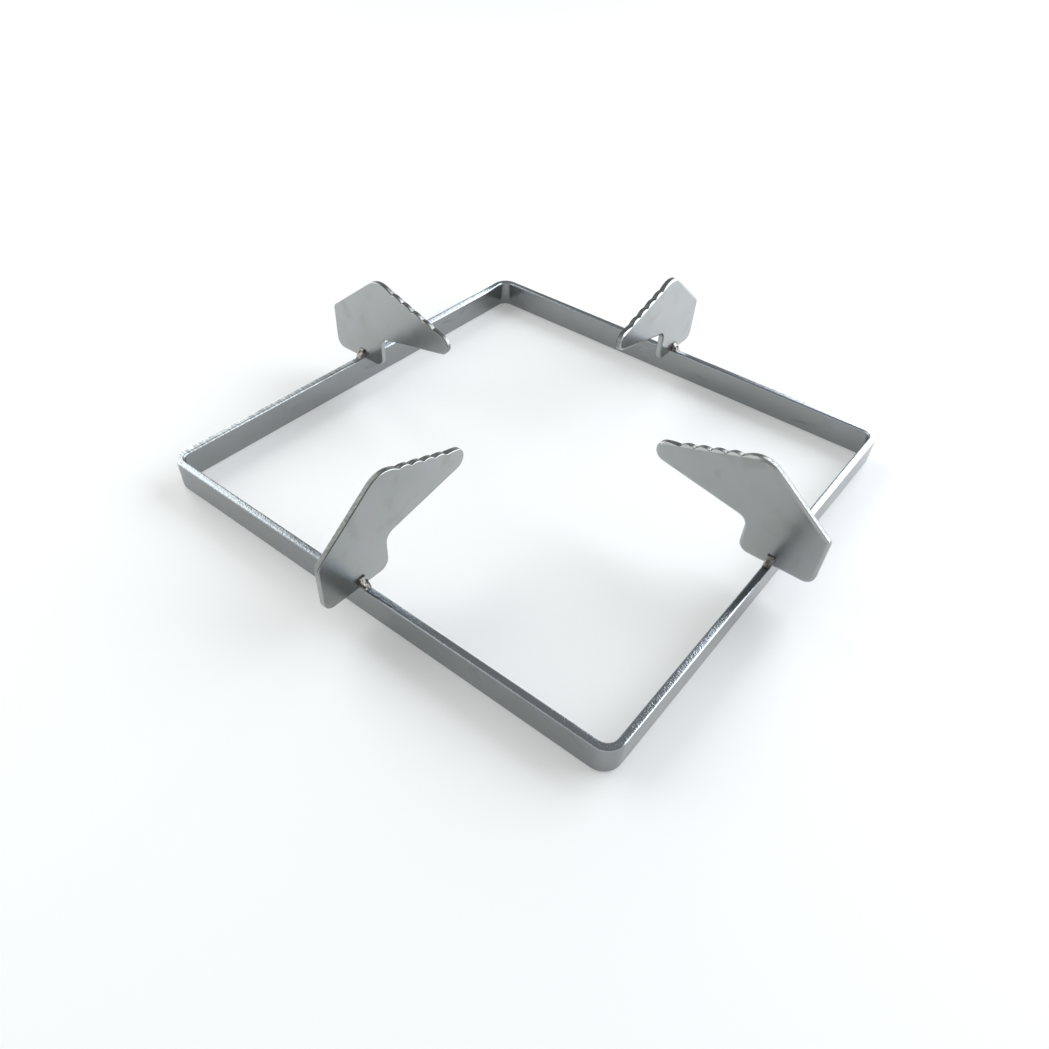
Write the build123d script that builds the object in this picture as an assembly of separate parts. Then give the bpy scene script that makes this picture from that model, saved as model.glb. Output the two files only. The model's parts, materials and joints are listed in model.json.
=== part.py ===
from build123d import *
from math import asin, cos, degrees, pi, radians, sin, tan
import os

# Pan support for one burner of a gas hob. Four fingers punched from sheet steel stand on a square
# ring of flat bar, and each is welded to the bar's top edge at both of its faces.
# Sizes are in mm. The origin is on the hob, under the ring's centre, and +Z is up.

# The ring: flat bar standing on edge, bent to a square.
ring_width = 210.0
bar_thickness = 3.0
bar_height = 12.0
ring_corner_radius = 7.0
bar_edge_break = 0.4
bar_crown = 0.05

# The sheet that a finger is punched from. The punch rolls the rim of one face over and leaves the
# other one sharp, to be broken by hand.
finger_thickness = 2.5
roll_over_width = 0.9
roll_over_depth = 0.24
finger_edge_break = 0.2

# The foot of a finger, measured from the middle of the bar's thickness.
foot_inside = 13.0
foot_outside = 16.5
foot_corner_radius = 4.2
seat_depth = 0.8

# The outer edge rises straight to the shoulder, then leans in to the crest that the pan rests on.
shoulder_height = 31.4
shoulder_radius = 3.0
crest_inside = 12.0
crest_height = 52.9
crest_radius = 10.5

# The arm reaches in over the burner and slopes down to a round tip.
tip_reach = 52.8
tip_height = 36.7
tip_radius = 4.2
armpit_height = 25.4
armpit_radius = 4.0

# The grip scallops, cut into the top of the arm from the crest's corner to the tip.
scallop_count = 5
scallop_start = 10.0
scallop_depth = 0.85
scallop_valley_round = 0.45

# A weld bead: its leg up the finger and along the bar, and how it laps over the bar's sides.
bead_leg = 3.5
bead_overlap = 0.25
bead_droop = 0.9
bead_flats = 6

# Each finger stands at the middle of one side of the ring.
ring_middle = ring_width / 2 - bar_thickness / 2
finger_turns = {"right": 0, "back": 90, "left": 180, "front": 270}
bead_sides = {"right": ("front", "back"), "back": ("right", "left"),
              "left": ("back", "front"), "front": ("left", "right")}


def make_ring():
    """One closed bar: flat underneath, crowned on top, with its four long edges broken."""
    half = bar_thickness / 2
    crown_foot = bar_height - bar_crown
    bend = ring_corner_radius - half
    straight = ring_middle - bend
    with BuildSketch(Plane.XZ) as section:
        with BuildLine():
            Polyline((half, crown_foot), (half, 0), (-half, 0), (-half, crown_foot))
            ThreePointArc((-half, crown_foot), (0, bar_height), (half, crown_foot))
        make_face()
        chamfer(section.vertices(), bar_edge_break)
    with BuildLine() as path:
        Line((ring_middle, 0), (ring_middle, straight))
        CenterArc((straight, straight), bend, 0, 90)
        Line((straight, ring_middle), (0, ring_middle))
    quarter = sweep(Pos(ring_middle, 0, 0) * section.sketch, path.line)
    ring = quarter
    for turn in (90, 180, 270):
        ring += Rotation(0, 0, turn) * quarter
    return ring


def touch_point(start, centre, radius, hand):
    """Where the line from start touches a circle: hand is 1 for its left side and -1 for its right."""
    to_centre = centre - start
    swing = degrees(asin(radius / to_centre.length))
    reach = (to_centre.length ** 2 - radius ** 2) ** 0.5
    return start + to_centre.normalized().rotate(Axis.Z, hand * swing) * reach


# The corners of a finger from its side: x is the distance from the ring's centre and y the height.
heel = Vector(ring_middle - foot_inside, bar_height - seat_depth)
toe = Vector(ring_middle + foot_outside, heel.Y)
shoulder = Vector(toe.X, shoulder_height)
crest = Vector(ring_middle - crest_inside, crest_height)
armpit = Vector(heel.X, armpit_height)
tip_centre = Vector(ring_middle - tip_reach + tip_radius, tip_height)
tip_top = touch_point(crest, tip_centre, tip_radius, -1)


def round_corners(face, points, radius):
    """Round the corners of a flat face that lie at the given points."""
    corners = [face.vertices().sort_by_distance(point)[0] for point in points]
    return fillet(corners, radius)


def blank_profile():
    """The finger from its side, before its scallops are cut."""
    tip_under = touch_point(armpit, tip_centre, tip_radius, 1)
    with BuildLine() as edge:
        Polyline(tip_under, armpit, heel, toe, shoulder, crest, tip_top)
        ThreePointArc(tip_top, tip_centre - Vector(tip_radius, 0), tip_under)
    profile = make_face(edge.edges())
    profile = round_corners(profile, (heel, toe), foot_corner_radius)
    profile = round_corners(profile, (shoulder,), shoulder_radius)
    profile = round_corners(profile, (crest,), crest_radius)
    return round_corners(profile, (armpit,), armpit_radius)


def scallop_profile():
    """What is cut away above the scallops: their tops lie on the arm's slope, and their valleys one
    depth below it. The first one starts where the crest's rounding ends."""
    slope = (tip_top - crest).normalized()
    lean = (crest - shoulder).normalized()
    into_arm = slope.rotate(Axis.Z, 90)
    clear_of_arm = into_arm * -scallop_depth
    rounding_end = crest + slope * crest_radius * tan(radians(lean.get_angle(slope) / 2))
    pitch = ((tip_top - crest).length - scallop_start) / scallop_count
    valleys = [crest + slope * (scallop_start + pitch * i) + into_arm * scallop_depth
               for i in range(scallop_count)]
    with BuildLine() as edge:
        TangentArc(rounding_end, valleys[0], tangent=slope)
        for here, after in zip(valleys, valleys[1:]):
            SagittaArc(here, after, -scallop_depth)
        TangentArc(tip_top, valleys[-1], tangent=-slope)
        Polyline(tip_top, tip_top + clear_of_arm, rounding_end + clear_of_arm, rounding_end)
    return round_corners(make_face(edge.edges()), valleys, scallop_valley_round)


def make_finger(ring):
    """The finger on the right side: punched out, scalloped, broken at its sharp rim, and notched
    where its foot seats on the bar. The rolled rim faces the front."""
    blank = extrude(Plane.XZ * blank_profile(), finger_thickness / 2, both=True)
    rolled_face = blank.faces().filter_by(Axis.Y).sort_by(Axis.Y)[0]
    blank = chamfer(rolled_face.edges(), roll_over_width, roll_over_depth, reference=rolled_face)
    blank -= extrude(Plane.XZ * scallop_profile(), finger_thickness, both=True)
    sharp_face = blank.faces().filter_by(Axis.Y).sort_by(Axis.Y)[-1]
    return chamfer(sharp_face.edges(), finger_edge_break) - ring


def make_beads(ring):
    """The two weld beads of the right finger, on its front and its back face."""
    half_length = bar_thickness / 2 + bead_overlap
    angles = [pi * i / bead_flats for i in range(bead_flats + 1)]
    profile = make_face(Polyline([(half_length * cos(a), bead_leg * sin(a)) for a in angles], close=True))
    nugget = revolve(Plane.XZ * profile, Axis.X, 180)
    room = Box(2 * half_length, bead_leg, bead_leg + bead_droop,
               align=(Align.CENTER, Align.MAX, Align.MIN))
    nugget = nugget & Pos(0, 0, -bead_droop) * room
    front = Pos(ring_middle, -finger_thickness / 2, bar_height) * nugget - ring
    return front, mirror(front, Plane.XZ)


def main():
    os.makedirs("parts", exist_ok=True)
    ring = make_ring()
    finger = make_finger(ring)
    beads = make_beads(ring)
    export_step(ring, "parts/ring.step")
    for side, turn in finger_turns.items():
        place = Rotation(0, 0, turn)
        export_step(place * finger, f"parts/finger_{side}.step")
        for bead, bead_side in zip(beads, bead_sides[side]):
            export_step(place * bead, f"parts/weld_{side}_{bead_side}.step")


main()
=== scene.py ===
import json
import math
import random

import bpy
from mathutils import Matrix, Vector

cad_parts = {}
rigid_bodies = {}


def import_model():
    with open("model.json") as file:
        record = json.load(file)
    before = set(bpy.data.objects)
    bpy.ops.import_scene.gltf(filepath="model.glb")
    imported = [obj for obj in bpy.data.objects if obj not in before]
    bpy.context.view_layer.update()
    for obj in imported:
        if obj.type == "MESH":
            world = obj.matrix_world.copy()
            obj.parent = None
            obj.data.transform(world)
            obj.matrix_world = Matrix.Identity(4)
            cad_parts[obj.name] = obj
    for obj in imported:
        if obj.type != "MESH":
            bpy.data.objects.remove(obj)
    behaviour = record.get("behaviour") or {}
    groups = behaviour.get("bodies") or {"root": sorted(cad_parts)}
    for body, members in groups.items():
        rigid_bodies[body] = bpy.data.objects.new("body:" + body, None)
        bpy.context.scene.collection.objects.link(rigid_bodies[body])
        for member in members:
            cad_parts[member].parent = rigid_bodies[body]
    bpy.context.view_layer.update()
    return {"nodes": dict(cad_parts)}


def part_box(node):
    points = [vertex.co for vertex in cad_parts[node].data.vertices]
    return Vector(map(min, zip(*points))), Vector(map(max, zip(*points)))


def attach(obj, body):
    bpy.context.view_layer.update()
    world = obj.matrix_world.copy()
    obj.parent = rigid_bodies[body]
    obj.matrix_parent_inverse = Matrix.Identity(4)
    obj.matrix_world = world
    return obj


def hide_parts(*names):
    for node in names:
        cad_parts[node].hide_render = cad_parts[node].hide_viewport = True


# Pan support for a gas hob's burner: a square ring of flat steel bar, four fingers punched from
# sheet steel, and the eight weld beads that hold them.
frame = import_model()

# The camera stands where the photograph was taken from, at the front right, looking down.
# Its shift puts the photograph's optical centre back where the crop left it.
MM = 0.001
photo_size = 1049
view_target = Vector((31.3, -58.3, 0.0)) * MM
view_azimuth = math.radians(35.986)
view_elevation = math.radians(46.185)
view_roll = math.radians(3.555)
view_distance = 295.5 * MM
focal_pixels = 804.2
optical_centre = (512.3, 577.9)

bpy.ops.object.camera_add()
camera = bpy.context.object
camera.name = "camera"
camera.matrix_world = (Matrix.Translation(view_target)
                       @ Matrix.Rotation(view_azimuth, 4, "Z")
                       @ Matrix.Rotation(math.pi / 2 - view_elevation, 4, "X")
                       @ Matrix.Translation((0, 0, view_distance))
                       @ Matrix.Rotation(view_roll, 4, "Z"))
camera.data.sensor_width = 36.0
camera.data.lens = focal_pixels / photo_size * camera.data.sensor_width
camera.data.shift_x = (photo_size / 2 - optical_centre[0]) / photo_size
camera.data.shift_y = (optical_centre[1] - photo_size / 2) / photo_size
camera.data.clip_start = 0.01
bpy.context.scene.camera = camera


# The ring is flat bar of electropolished steel, rolled with soft edges, stood on edge and bent to
# a square. Its long faces keep the faint lines of the rolling, along the bar. On the left side,
# its top is filed as far as the finger, and behind the finger it slopes in and shines.
rolled_edge = 0.25 * MM
edge_segments = 4
edge_angle = math.radians(30)
sharp_angle = math.radians(35)
flat_angle = math.radians(0.5)
touching = 0.001 * MM
facing_up = 0.1
bar_thickness = 3.0 * MM
top_depth = 1.0 * MM
slope_angle = math.radians(28)
slope_starts = (8 * MM, 14 * MM)
slope_ends = (86 * MM, 97 * MM)
filed_within = 4 * MM


def linear(hex_colour):
    """An sRGB hex colour as the linear colour that a shader wants."""
    parts = [int(hex_colour[i:i + 2], 16) / 255 for i in (1, 3, 5)]
    return [p / 12.92 if p <= 0.04045 else ((p + 0.055) / 1.055) ** 2.4 for p in parts] + [1.0]


def add_node(tree, kind, settings=None, inputs=None, links=None):
    """Add one shader node: its settings, its sockets' values, and the sockets that feed it."""
    node = tree.nodes.new(kind)
    for name, value in (settings or {}).items():
        setattr(node, name, value)
    for name, value in (inputs or {}).items():
        node.inputs[name].default_value = value
    for name, source in (links or {}).items():
        tree.links.new(source, node.inputs[name])
    return node


def new_material(name):
    """An empty node material and its tree, with only the output left in it."""
    material = bpy.data.materials.new(name)
    material.use_nodes = True
    tree = material.node_tree
    for node in [n for n in tree.nodes if n.type != "OUTPUT_MATERIAL"]:
        tree.nodes.remove(node)
    return material, tree


def merged_copy(node_name, name):
    """A new object with a CAD node's form, its loose triangles joined and its flats made whole."""
    mesh = frame["nodes"][node_name].data.copy()
    mesh.name = name
    mesh.materials.clear()
    piece = bpy.data.objects.new(name, mesh)
    bpy.context.scene.collection.objects.link(piece)
    bpy.ops.object.select_all(action="DESELECT")
    piece.select_set(True)
    bpy.context.view_layer.objects.active = piece
    bpy.ops.mesh.customdata_custom_splitnormals_clear()
    bpy.ops.object.mode_set(mode="EDIT")
    bpy.ops.mesh.select_all(action="SELECT")
    bpy.ops.mesh.remove_doubles(threshold=touching)
    bpy.ops.mesh.dissolve_limited(angle_limit=flat_angle)
    bpy.ops.object.mode_set(mode="OBJECT")
    return piece


def round_edges(piece, width):
    """Round a piece's broken edges off, with its curves shaded smooth."""
    bevel = piece.modifiers.new("rounded_edges", "BEVEL")
    bevel.width = width
    bevel.segments = edge_segments
    bevel.limit_method = "ANGLE"
    bevel.angle_limit = edge_angle
    bpy.ops.object.modifier_apply(modifier=bevel.name)
    bpy.ops.object.shade_smooth_by_angle(angle=sharp_angle)


def flatten_flats(piece):
    """Shade a piece's flats flat, up to its sharp lines."""
    weighted = piece.modifiers.new("flat_faces", "WEIGHTED_NORMAL")
    weighted.keep_sharp = True
    bpy.ops.object.modifier_apply(modifier=weighted.name)


def slope_top(ring):
    """Lean the top of the left side in behind its finger, with a run-out at each end."""
    low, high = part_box("ring")
    outer_edge = (low.x, 0, high.z - top_depth / 2)
    bpy.ops.object.mode_set(mode="EDIT")
    for place in slope_starts + slope_ends:
        bpy.ops.mesh.select_all(action="SELECT")
        bpy.ops.mesh.bisect(plane_co=(0, place, 0), plane_no=(0, 1, 0))
    bpy.ops.mesh.select_mode(type="VERT")
    bpy.ops.mesh.select_all(action="DESELECT")
    bpy.ops.object.mode_set(mode="OBJECT")
    for vertex in ring.data.vertices:
        x, y, z = vertex.co
        vertex.select = (x < low.x + 2 * bar_thickness and z > high.z - top_depth
                         and slope_starts[1] - touching < y < slope_ends[0] + touching)
    bpy.ops.object.mode_set(mode="EDIT")
    bpy.ops.transform.rotate(value=-slope_angle, orient_axis="Y", center_override=outer_edge)
    bpy.ops.object.mode_set(mode="OBJECT")


def polished_bar():
    """Electropolished flat bar: bright and smooth, with soft stains and faint lines along it. The
    lines are coarser than the real ones, so that they show."""
    material, tree = new_material("electropolished_flat_bar")
    place = add_node(tree, "ShaderNodeTexCoord").outputs["Object"]
    stain = add_node(tree, "ShaderNodeTexNoise", inputs={"Scale": 1 / (16 * MM), "Detail": 3.0},
                     links={"Vector": place})
    colour = add_node(tree, "ShaderNodeMix", {"data_type": "RGBA"},
                      {"A": linear("#8d918e"), "B": linear("#9a9ca0")}, {"Factor": stain.outputs["Fac"]})
    dull = add_node(tree, "ShaderNodeMapRange",
                    inputs={"From Min": 0.3, "From Max": 0.7, "To Min": 0.22, "To Max": 0.28},
                    links={"Value": stain.outputs["Fac"]})
    wiped = add_node(tree, "ShaderNodeMapping",
                     inputs={"Scale": (1 / (14 * MM), 1 / (14 * MM), 1 / (5 * MM))}, links={"Vector": place})
    smear = add_node(tree, "ShaderNodeTexNoise", inputs={"Scale": 1.0, "Detail": 4.0, "Distortion": 1.0},
                     links={"Vector": wiped.outputs["Vector"]})
    smears = add_node(tree, "ShaderNodeMapRange",
                      inputs={"From Min": 0.6, "From Max": 0.75, "To Min": 0.0, "To Max": 0.5},
                      links={"Value": smear.outputs["Fac"]})
    smeared = add_node(tree, "ShaderNodeMix", {"data_type": "RGBA"}, {"B": linear("#777b7a")},
                       {"Factor": smears.outputs["Result"], "A": colour.outputs["Result"]})
    drawn_out = add_node(tree, "ShaderNodeMapping",
                         inputs={"Scale": (1 / (30 * MM), 1 / (30 * MM), 1 / (0.7 * MM))},
                         links={"Vector": place})
    lines = add_node(tree, "ShaderNodeTexNoise", inputs={"Scale": 1.0, "Detail": 2.0},
                     links={"Vector": drawn_out.outputs["Vector"]})
    bump = add_node(tree, "ShaderNodeBump", inputs={"Strength": 0.05, "Distance": 0.05 * MM},
                    links={"Height": lines.outputs["Fac"]})
    steel = add_node(tree, "ShaderNodeBsdfPrincipled", inputs={"Metallic": 1.0},
                     links={"Base Color": smeared.outputs["Result"], "Roughness": dull.outputs["Result"],
                            "Normal": bump.outputs["Normal"]})
    tree.links.new(steel.outputs["BSDF"], tree.nodes["Material Output"].inputs["Surface"])
    return material


def bar_edge():
    """The bar's narrow rolled edge: brighter than its faces, and wavy and nicked, so it glitters.
    The nicks are coarser than the real ones, so that they show."""
    material, tree = new_material("rolled_edge_of_flat_bar")
    place = add_node(tree, "ShaderNodeTexCoord").outputs["Object"]
    wave = add_node(tree, "ShaderNodeTexNoise", inputs={"Scale": 1 / (1.4 * MM), "Detail": 1.0},
                    links={"Vector": place})
    nicks = add_node(tree, "ShaderNodeTexNoise", inputs={"Scale": 1 / (0.6 * MM), "Detail": 2.0},
                     links={"Vector": place})
    waves = add_node(tree, "ShaderNodeBump", inputs={"Strength": 0.5, "Distance": 0.1 * MM},
                     links={"Height": wave.outputs["Fac"]})
    bumps = add_node(tree, "ShaderNodeBump", inputs={"Strength": 0.9, "Distance": 0.09 * MM},
                     links={"Height": nicks.outputs["Fac"], "Normal": waves.outputs["Normal"]})
    steel = add_node(tree, "ShaderNodeBsdfPrincipled",
                     inputs={"Metallic": 1.0, "Roughness": 0.17, "Base Color": linear("#9ea3a8")},
                     links={"Normal": bumps.outputs["Normal"]})
    tree.links.new(steel.outputs["BSDF"], tree.nodes["Material Output"].inputs["Surface"])
    return material


def filed_edge():
    """The top of the left side, filed across: rough, with short marks from side to side, and with
    painted glints: the marks' light streaks are painted highlight. The marks are coarser than the
    real ones, so that they show."""
    material, tree = new_material("filed_edge_of_flat_bar")
    place = add_node(tree, "ShaderNodeTexCoord").outputs["Object"]
    across = add_node(tree, "ShaderNodeMapping",
                      inputs={"Scale": (1 / (3 * MM), 1 / (0.9 * MM), 1 / (3 * MM))}, links={"Vector": place})
    marks = add_node(tree, "ShaderNodeTexNoise", inputs={"Scale": 1.0, "Detail": 3.0},
                     links={"Vector": across.outputs["Vector"]})
    # Painted highlight: the crests of the filing marks are painted light, as glints.
    painted_glints = add_node(tree, "ShaderNodeMapRange", inputs={"From Min": 0.42, "From Max": 0.62},
                      links={"Value": marks.outputs["Fac"]})
    colour = add_node(tree, "ShaderNodeMix", {"data_type": "RGBA"},
                      {"A": linear("#969b9e"), "B": linear("#cacecf")}, {"Factor": painted_glints.outputs["Result"]})
    bump = add_node(tree, "ShaderNodeBump", inputs={"Strength": 1.0, "Distance": 0.18 * MM},
                    links={"Height": marks.outputs["Fac"]})
    steel = add_node(tree, "ShaderNodeBsdfPrincipled", inputs={"Metallic": 1.0, "Roughness": 0.38},
                     links={"Base Color": colour.outputs["Result"], "Normal": bump.outputs["Normal"]})
    tree.links.new(steel.outputs["BSDF"], tree.nodes["Material Output"].inputs["Surface"])
    return material


def give_faces(piece, index, wanted):
    """Give a material slot of a piece to the faces that pass a test."""
    for face in piece.data.polygons:
        if wanted(face):
            face.material_index = index


ring = merged_copy("ring", "flat_bar_ring")
slope_top(ring)
round_edges(ring, rolled_edge)
flatten_flats(ring)
for finish in (polished_bar(), bar_edge(), filed_edge()):
    ring.data.materials.append(finish)
filed_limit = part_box("ring")[0].x + filed_within
give_faces(ring, 1, lambda face: face.normal.z > facing_up)
give_faces(ring, 2, lambda face: (face.normal.z > facing_up and face.center.x < filed_limit
                                  and face.center.y < slope_starts[1]))
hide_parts("ring")
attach(ring, "root")


# Each finger is punched from sheet steel, which rolls the rim of one face over and leaves a torn,
# grainy band between the two faces. It is then electropolished like the bar.
rim_softness = 0.12 * MM
rim_reach = 0.3 * MM
rim_drop = 1.9
edge_facing = 0.5
# On the punched edge, each painted shade line, where the rolled rim and the burr shade the band,
# fades in between two distances from the sheet's middle, and the band's paler foot fades out
# between two heights.
rim_shade_starts = 0.72 * MM
rim_shade_full = 0.92 * MM
paler_foot_fades = 24 * MM
paler_foot_ends = 34 * MM
sides = ("right", "back", "left", "front")
# Each finger's rolled face looks towards plus (1) or minus (-1) on the axis through its sheet.
rolled_hand = {"right": -1, "back": 1, "left": 1, "front": -1}


def thickness_axis(side):
    """The axis, 0 for X or 1 for Y, that runs through the sheet of the finger on that side."""
    return 0 if side in ("front", "back") else 1


def at_face(finger, side, reach):
    """The numbers of a finger's vertices that lie on its rolled face, or up to reach below it, and
    where that face is."""
    axis = thickness_axis(side)
    low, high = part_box(f"finger_{side}")
    face = low[axis] if rolled_hand[side] < 0 else high[axis]
    return {v.index for v in finger.data.vertices if abs(v.co[axis] - face) < reach}, face


def deepen_rim(finger, side):
    """Let the rolled rim fall away from its face more steeply than the solid's does."""
    rim, face = at_face(finger, side, rim_reach)
    axis = thickness_axis(side)
    bpy.ops.object.mode_set(mode="EDIT")
    bpy.ops.mesh.select_mode(type="VERT")
    bpy.ops.mesh.select_all(action="DESELECT")
    bpy.ops.object.mode_set(mode="OBJECT")
    for vertex in finger.data.vertices:
        vertex.select = vertex.index in rim
    bpy.ops.object.mode_set(mode="EDIT")
    bpy.ops.transform.resize(value=[rim_drop if i == axis else 1 for i in range(3)],
                             center_override=[face if i == axis else 0 for i in range(3)])
    bpy.ops.object.mode_set(mode="OBJECT")


def crisp_rim(finger, side):
    """Keep the line sharp where the rolled rim begins."""
    flat = at_face(finger, side, touching)[0]
    for edge in finger.data.edges:
        if flat.issuperset(edge.vertices):
            edge.use_edge_sharp = True


def polished_sheet():
    """Electropolished sheet: satin and even, with soft tints, faint stains and a few small pits.
    The grain of the satin is coarser than the real one, so that it shows."""
    material, tree = new_material("electropolished_sheet")
    place = add_node(tree, "ShaderNodeTexCoord").outputs["Object"]
    tint = add_node(tree, "ShaderNodeTexNoise", inputs={"Scale": 1 / (13 * MM), "Detail": 2.0},
                    links={"Vector": place})
    clean = add_node(tree, "ShaderNodeMix", {"data_type": "RGBA"},
                     {"A": linear("#a0a6a1"), "B": linear("#adacb0")}, {"Factor": tint.outputs["Fac"]})
    stain = add_node(tree, "ShaderNodeTexNoise", inputs={"Scale": 1 / (9 * MM), "Detail": 3.0},
                     links={"Vector": place})
    stained = add_node(tree, "ShaderNodeMapRange",
                       inputs={"From Min": 0.56, "From Max": 0.72, "To Min": 0.0, "To Max": 0.5},
                       links={"Value": stain.outputs["Fac"]})
    cloudy = add_node(tree, "ShaderNodeMix", {"data_type": "RGBA"}, {"B": linear("#959690")},
                      {"Factor": stained.outputs["Result"], "A": clean.outputs["Result"]})
    cells = add_node(tree, "ShaderNodeTexVoronoi", inputs={"Scale": 1 / (4.5 * MM)}, links={"Vector": place})
    pits = add_node(tree, "ShaderNodeMapRange",
                    inputs={"From Min": 0.02, "From Max": 0.05, "To Min": 0.6, "To Max": 0.0},
                    links={"Value": cells.outputs["Distance"]})
    colour = add_node(tree, "ShaderNodeMix", {"data_type": "RGBA"}, {"B": linear("#6a6c6b")},
                      {"Factor": pits.outputs["Result"], "A": cloudy.outputs["Result"]})
    grain = add_node(tree, "ShaderNodeTexNoise", inputs={"Scale": 1 / (0.5 * MM), "Detail": 2.0},
                     links={"Vector": place})
    bump = add_node(tree, "ShaderNodeBump", inputs={"Strength": 0.05, "Distance": 0.05 * MM},
                    links={"Height": grain.outputs["Fac"]})
    steel = add_node(tree, "ShaderNodeBsdfPrincipled", inputs={"Metallic": 1.0, "Roughness": 0.25},
                     links={"Base Color": colour.outputs["Result"], "Normal": bump.outputs["Normal"]})
    tree.links.new(steel.outputs["BSDF"], tree.nodes["Material Output"].inputs["Surface"])
    return material


def punched_edge(across):
    """The band that the punch leaves through the sheet: dull and grainy, with a painted shade line at
    each face, where the rolled rim and the burr shade it, and paler towards the foot. The grain is
    coarser than the real one, so that it shows.
    across is 0 or 1, the axis of the sheet's thickness."""
    material, tree = new_material(f"punched_edge_{'xy'[across]}")
    place = add_node(tree, "ShaderNodeTexCoord").outputs["Object"]
    stretch = [1 / (0.25 * MM)] * 3
    stretch[across] = 1 / (0.6 * MM)
    tears = add_node(tree, "ShaderNodeMapping", inputs={"Scale": stretch}, links={"Vector": place})
    grain = add_node(tree, "ShaderNodeTexNoise", inputs={"Scale": 1.0, "Detail": 3.0},
                     links={"Vector": tears.outputs["Vector"]})
    torn = add_node(tree, "ShaderNodeMapRange", inputs={"From Min": 0.35, "From Max": 0.65},
                    links={"Value": grain.outputs["Fac"]})
    colour = add_node(tree, "ShaderNodeMix", {"data_type": "RGBA"},
                      {"A": linear("#5a5c5a"), "B": linear("#a5a7a5")}, {"Factor": torn.outputs["Result"]})
    depth = add_node(tree, "ShaderNodeSeparateXYZ", links={"Vector": place}).outputs["XY"[across]]
    middle = add_node(tree, "ShaderNodeMath", {"operation": "ABSOLUTE"}, links={0: depth})
    # Painted shade: the band is darkened next to each face, where the rolled rim and the burr shade it.
    rim_shade = add_node(tree, "ShaderNodeMapRange", {"interpolation_type": "SMOOTHSTEP"},
                    {"From Min": rim_shade_starts, "From Max": rim_shade_full}, {"Value": middle.outputs["Value"]})
    rim_shaded = add_node(tree, "ShaderNodeMix", {"data_type": "RGBA"}, {"B": linear("#434543")},
                     {"Factor": rim_shade.outputs["Result"], "A": colour.outputs["Result"]})
    # The band is made paler towards the foot, by height alone.
    height = add_node(tree, "ShaderNodeSeparateXYZ", links={"Vector": place}).outputs["Z"]
    foot = add_node(tree, "ShaderNodeMapRange", {"interpolation_type": "SMOOTHSTEP"},
                    {"From Min": paler_foot_fades, "From Max": paler_foot_ends, "To Min": 0.8, "To Max": 0.0},
                    {"Value": height})
    paler_foot = add_node(tree, "ShaderNodeMix", {"data_type": "RGBA"}, {"B": linear("#abafae")},
                         {"Factor": foot.outputs["Result"], "A": rim_shaded.outputs["Result"]})
    bump = add_node(tree, "ShaderNodeBump", inputs={"Strength": 0.6, "Distance": 0.06 * MM},
                    links={"Height": grain.outputs["Fac"]})
    steel = add_node(tree, "ShaderNodeBsdfPrincipled", inputs={"Metallic": 1.0, "Roughness": 0.3},
                     links={"Base Color": paler_foot.outputs["Result"], "Normal": bump.outputs["Normal"]})
    tree.links.new(steel.outputs["BSDF"], tree.nodes["Material Output"].inputs["Surface"])
    return material


sheet_steel = polished_sheet()
torn_edges = [punched_edge(0), punched_edge(1)]
for side in sides:
    finger = merged_copy(f"finger_{side}", f"punched_finger_{side}")
    deepen_rim(finger, side)
    round_edges(finger, rim_softness)
    crisp_rim(finger, side)
    flatten_flats(finger)
    finger.data.materials.append(sheet_steel)
    finger.data.materials.append(torn_edges[thickness_axis(side)])
    give_faces(finger, 1, lambda face: abs(face.normal[thickness_axis(side)]) < edge_facing)
    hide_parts(f"finger_{side}")
    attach(finger, "root")


# A weld bead fills the corner between each face of a finger and the bar's top edge: a wedge of
# steel that ran down in ridges and drops and froze. It was polished with the rest, and keeps dark
# pits and faint brown tints.
bead_width = 3.0 * MM
bead_rise = 3.6 * MM
bead_run = 3.2 * MM
bead_slope = math.radians(45)
bead_voxel = 0.12 * MM
melting_passes = 4
ripple_width = 0.8 * MM
ripple_height = 0.2 * MM
bead_faces = {"right": ("front", "back"), "back": ("right", "left"),
              "left": ("back", "front"), "front": ("left", "right")}
# A ridge is its place across the bar, its half length and its half thickness. A drop is its place
# across the bar, out from the finger and up from the bar, and its radius. All are in mm.
bead_ridges = ((-1.0, 1.9, 0.5), (-0.1, 2.1, 0.42), (0.85, 1.8, 0.5))
bead_drops = ((-0.9, 2.7, 0.1, 0.5), (0.7, 2.9, 0.0, 0.5), (0.1, 0.3, 3.2, 0.4))
# A bead is laid by hand, so its forms differ within these ranges. The wedge's upper edge is drawn
# in by a share of the run, and a ridge's middle lies at a share of the run and of the rise. The
# strays are in mm and the turn in radians, and a ridge's length and a drop's radius are multiplied.
wedge_drawn_in = (0.8, 0.95)
ridge_stray = (-0.2, 0.2)
ridge_out = (0.42, 0.5)
ridge_up = (0.42, 0.52)
ridge_turn = (-0.25, 0.25)
ridge_stretch = (0.85, 1.1)
drop_stray = (-0.3, 0.3)
drop_stray_out = (-0.3, 0.1)
drop_swell = (0.8, 1.1)
lump_fineness = 3


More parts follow.
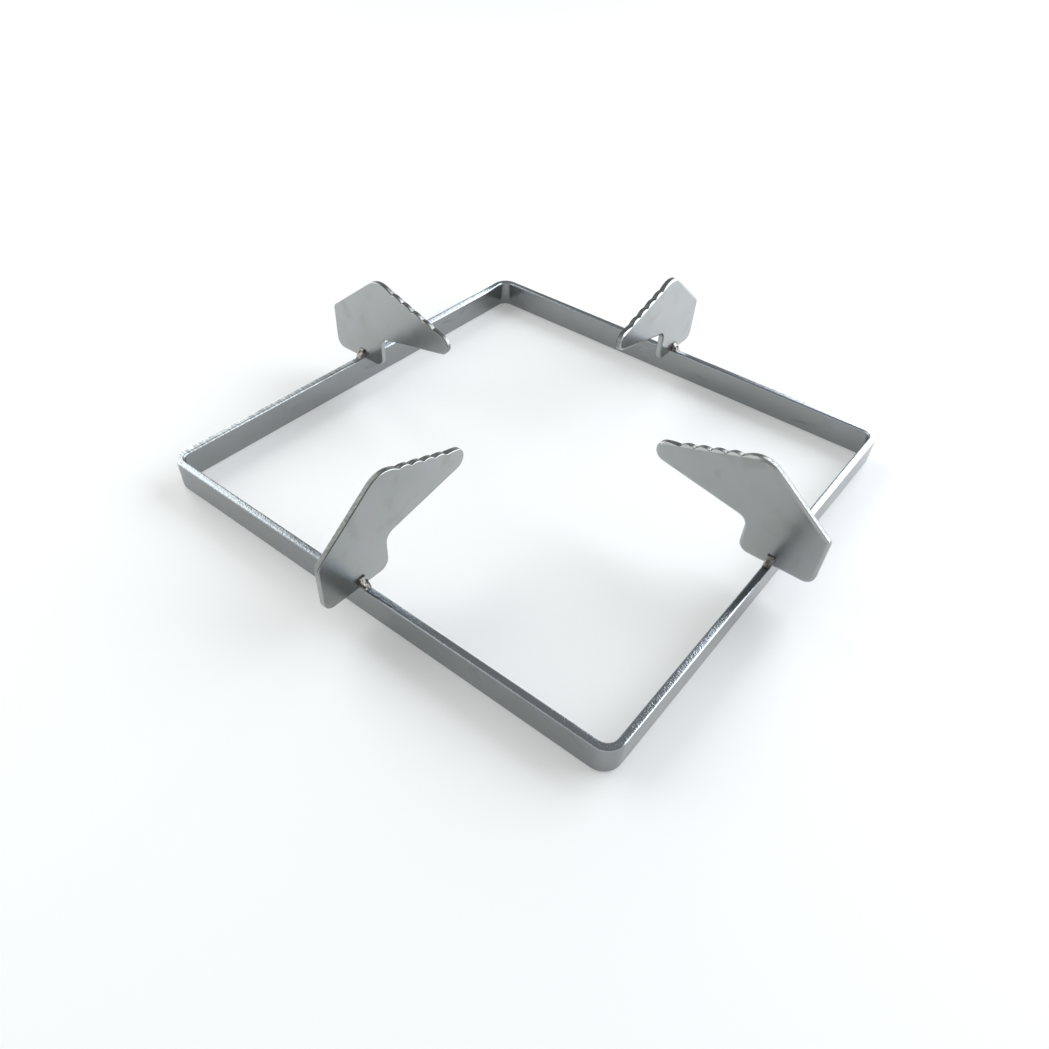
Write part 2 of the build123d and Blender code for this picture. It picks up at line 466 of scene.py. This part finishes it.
def weld_metal():
    """Weld metal as it froze: rippled and satin, in random dark and light patches, with faint brown heat
    tints.
    """
    material, tree = new_material("heat_tinted_weld_metal")
    place = add_node(tree, "ShaderNodeTexCoord").outputs["Object"]
    patch = add_node(tree, "ShaderNodeTexNoise", inputs={"Scale": 1 / (1.2 * MM), "Detail": 3.0},
                     links={"Vector": place})
    tint = add_node(tree, "ShaderNodeValToRGB", links={"Fac": patch.outputs["Fac"]})
    ramp = tint.color_ramp
    ramp.elements[0].position = 0.36
    ramp.elements[0].color = linear("#302e2c")
    ramp.elements[1].position = 0.7
    ramp.elements[1].color = linear("#b2b3b2")
    for position, colour in ((0.45, "#66635f"), (0.53, "#85807d"), (0.6, "#91908c")):
        ramp.elements.new(position).color = linear(colour)
    ripple = add_node(tree, "ShaderNodeTexNoise", inputs={"Scale": 1 / (0.3 * MM), "Detail": 2.0},
                      links={"Vector": place})
    bump = add_node(tree, "ShaderNodeBump", inputs={"Strength": 0.3, "Distance": 0.05 * MM},
                    links={"Height": ripple.outputs["Fac"]})
    steel = add_node(tree, "ShaderNodeBsdfPrincipled", inputs={"Metallic": 1.0, "Roughness": 0.32},
                     links={"Base Color": tint.outputs["Color"], "Normal": bump.outputs["Normal"]})
    tree.links.new(steel.outputs["BSDF"], tree.nodes["Material Output"].inputs["Surface"])
    return material


def bead_wedge(across, face, bar_top, hand, chance):
    """A block on the bar against the finger's face, its upper outer edge drawn in to the finger."""
    bpy.ops.object.select_all(action="DESELECT")
    bpy.ops.mesh.primitive_cube_add(size=1, scale=(bead_width, bead_run, bead_rise),
                                    location=(across, face + hand * bead_run / 2, bar_top + bead_rise / 2))
    wedge = bpy.context.object
    wedge.name = "weld_lump"
    bpy.ops.object.mode_set(mode="EDIT")
    bpy.ops.mesh.select_all(action="DESELECT")
    bpy.ops.object.mode_set(mode="OBJECT")
    for corner in wedge.data.vertices:
        corner.select = corner.co.z > 0 and corner.co.y * hand > 0
    bpy.ops.object.mode_set(mode="EDIT")
    bpy.ops.transform.translate(value=(0, -hand * bead_run * chance.uniform(*wedge_drawn_in), 0))
    bpy.ops.object.mode_set(mode="OBJECT")


def bead_lumps(across, face, bar_top, hand, chance):
    """The ridges that run down the wedge's slope, and the drops at its toe and its top."""
    for x, half_length, half_thickness in bead_ridges:
        middle = (across + (x + chance.uniform(*ridge_stray)) * MM,
                  face + hand * bead_run * chance.uniform(*ridge_out),
                  bar_top + bead_rise * chance.uniform(*ridge_up))
        lean = (-hand * bead_slope, 0, chance.uniform(*ridge_turn))
        stretch = (half_thickness, half_length * chance.uniform(*ridge_stretch), half_thickness)
        bpy.ops.mesh.primitive_ico_sphere_add(subdivisions=lump_fineness, radius=MM,
                                              location=middle, rotation=lean, scale=stretch)
        bpy.context.object.name = "weld_lump"
    for x, out, up, radius in bead_drops:
        middle = (across + (x + chance.uniform(*drop_stray)) * MM,
                  face + hand * (out + chance.uniform(*drop_stray_out)) * MM,
                  bar_top + up * MM)
        bpy.ops.mesh.primitive_ico_sphere_add(subdivisions=lump_fineness, location=middle,
                                              radius=radius * chance.uniform(*drop_swell) * MM)
        bpy.context.object.name = "weld_lump"


def melt_together(bead):
    """Melt a bead's lumps into one skin, and let it freeze in ripples."""
    skin = bead.modifiers.new("melted_together", "REMESH")
    skin.mode = "VOXEL"
    skin.voxel_size = bead_voxel
    soft = bead.modifiers.new("flowed", "SMOOTH")
    soft.iterations = melting_passes
    clouds = bpy.data.textures.new("frozen_ripples", "CLOUDS")
    clouds.noise_scale = ripple_width
    ripples = bead.modifiers.new("ripples", "DISPLACE")
    ripples.texture = clouds
    ripples.texture_coords = "GLOBAL"
    ripples.strength = ripple_height
    for modifier in list(bead.modifiers):
        bpy.ops.object.modifier_apply(modifier=modifier.name)
    bpy.ops.object.shade_smooth()


def weld_bead(name, hand, turn, chance):
    """One bead: it is made at the right-hand finger, on its front face where hand is -1 and on its
    back face where hand is 1, and then turned to its own finger."""
    low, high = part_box("weld_right_front" if hand < 0 else "weld_right_back")
    across = (low.x + high.x) / 2
    face = high.y if hand < 0 else low.y
    bar_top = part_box("ring")[1].z
    bead_wedge(across, face, bar_top, hand, chance)
    bead_lumps(across, face, bar_top, hand, chance)
    bpy.ops.object.select_pattern(pattern="weld_lump*", extend=False)
    bpy.ops.object.join()
    bead = bpy.context.object
    bead.name = bead.data.name = name
    bpy.context.scene.cursor.location = (0, 0, 0)
    bpy.ops.object.origin_set(type="ORIGIN_CURSOR")
    bead.rotation_mode = "XYZ"
    bpy.ops.object.transform_apply(location=True, rotation=True, scale=True)
    bead.rotation_euler.z = turn
    bpy.ops.object.transform_apply(location=True, rotation=True, scale=True)
    melt_together(bead)
    return bead


weld_steel = weld_metal()
for number, side in enumerate(sides):
    for hand, other in zip((-1, 1), bead_faces[side]):
        bead = weld_bead(f"weld_bead_{side}_{other}", hand, math.radians(90 * number),
                         random.Random(10 * number + hand))
        bead.data.materials.append(weld_steel)
        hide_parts(f"weld_{side}_{other}")
        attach(bead, "root")


# The floor is a sheet of satin white laminate, and it ends at a low white wall, under a dim room.
# The camera and the polished steel see it a share whiter than the lamps make it, and it still
# keeps the shadow.
floor_radius = 1.3
floor_gap = 0.02 * MM
white_share = 0.2
room_dim = 0.34
# The room is drawn by the height of a line of sight 1 long, so these two angles are kept as sines.
wall_top = math.sin(math.radians(12))
wall_fade = math.sin(math.radians(4))

bpy.ops.object.select_all(action="DESELECT")
bpy.ops.mesh.primitive_circle_add(vertices=64, radius=floor_radius, fill_type="NGON",
                                  location=(0, 0, -floor_gap))
floor = bpy.context.object
floor.name = "floor"
bpy.ops.object.transform_apply(location=True, rotation=True, scale=True)
laminate, tree = new_material("satin_white_laminate")
satin = add_node(tree, "ShaderNodeBsdfPrincipled",
                 inputs={"Base Color": linear("#fafafa"), "Roughness": 0.5, "IOR": 1.55})
ray = add_node(tree, "ShaderNodeLightPath")
looked_at = add_node(tree, "ShaderNodeMath", {"operation": "MAXIMUM"},
                     links={0: ray.outputs["Is Camera Ray"], 1: ray.outputs["Is Glossy Ray"]})
share = add_node(tree, "ShaderNodeMath", {"operation": "MULTIPLY"}, {1: white_share},
                 {0: looked_at.outputs["Value"]})
white = add_node(tree, "ShaderNodeEmission", inputs={"Strength": 1.0})
whitened = add_node(tree, "ShaderNodeMixShader",
                    links={0: share.outputs["Value"], 1: satin.outputs["BSDF"],
                           2: white.outputs["Emission"]})
tree.links.new(whitened.outputs["Shader"], tree.nodes["Material Output"].inputs["Surface"])
floor.data.materials.append(laminate)

world = bpy.data.worlds.new("soft_studio")
bpy.context.scene.world = world
world.use_nodes = True
tree = world.node_tree
tree.nodes.clear()
look = add_node(tree, "ShaderNodeTexCoord").outputs["Generated"]
height = add_node(tree, "ShaderNodeSeparateXYZ", links={"Vector": look}).outputs["Z"]
wall = add_node(tree, "ShaderNodeMapRange", {"interpolation_type": "SMOOTHSTEP"},
                {"From Min": wall_top - wall_fade, "From Max": wall_top + wall_fade,
                 "To Min": 1.0, "To Max": room_dim}, {"Value": height})
room = add_node(tree, "ShaderNodeBackground", inputs={"Color": linear("#fcfffe")},
                links={"Strength": wall.outputs["Result"]})
add_node(tree, "ShaderNodeOutputWorld", links={"Surface": room.outputs["Background"]})


def soft_light(name, azimuth, distance, left, right, foot, top, colour, radiance):
    """An upright soft light that faces the object. azimuth is in degrees from +Y towards -X. left
    and right are how far it reaches to each side of there, and foot and top how high it stands, as
    shares of its distance. radiance is the brightness of its face."""
    turn = math.radians(azimuth)
    ahead = Vector((-math.sin(turn), math.cos(turn), 0))
    leftward = Vector((-math.cos(turn), -math.sin(turn), 0))
    middle = ahead + leftward * (left - right) / 2 + Vector((0, 0, (foot + top) / 2))
    bpy.ops.object.light_add(type="AREA", location=middle * distance,
                             rotation=(math.pi / 2, 0, turn + math.pi))
    lamp = bpy.context.object
    lamp.name = name
    lamp.visible_camera = False
    lamp.data.shape = "RECTANGLE"
    lamp.data.size = (left + right) * distance
    lamp.data.size_y = (top - foot) * distance
    lamp.data.color = linear(colour)[:3]
    lamp.data.energy = radiance * math.pi * lamp.data.size * lamp.data.size_y


# The main light is as large as a window and stands behind on the right. The second one stands on
# the left, and a small low one in front on the left draws the line on the bar's upper edge.
soft_light("window_light", azimuth=-14, distance=1.25, left=0.46, right=1.24, foot=0.0, top=1.25,
           colour="#f1f6fd", radiance=4.1)
soft_light("side_light", azimuth=85, distance=1.3, left=1.05, right=0.39, foot=0.0, top=1.3,
           colour="#fcfffd", radiance=2.5)
soft_light("low_light", azimuth=151, distance=1.3, left=0.2, right=0.2, foot=0.25, top=0.6,
           colour="#fcfffd", radiance=1.5)

bpy.context.scene.view_settings.view_transform = "Standard"
